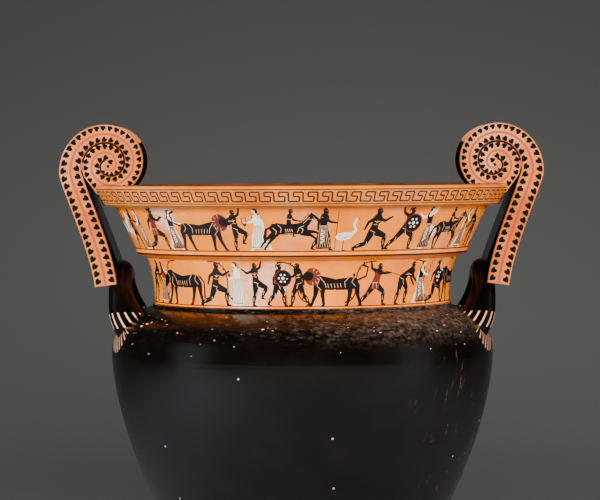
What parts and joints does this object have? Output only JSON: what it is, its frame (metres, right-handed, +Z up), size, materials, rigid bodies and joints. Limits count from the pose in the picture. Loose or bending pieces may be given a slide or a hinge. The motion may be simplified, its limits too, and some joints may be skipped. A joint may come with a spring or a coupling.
{
  "type": "volute krater",
  "caption": "Large fired-clay mixing bowl with a flared two-step neck, a moulded foot and scrolled handles that stand above its rim.",
  "frame": {"origin": "middle of the foot's underside, on the surface that the krater stands on", "axes": "+Z up along the vessel's axis, the two handles on +X and -X, the painted front faces -Y"},
  "size_m": [0.5432, 0.474, 0.6395],
  "materials": {
    "fired_clay": "glossy black slip over orange clay, with friezes, rim and scrolls left in the clay's colour"
  },
  "bodies": {
    "root": {"krater": "fired_clay"}
  },
  "joints": []
}
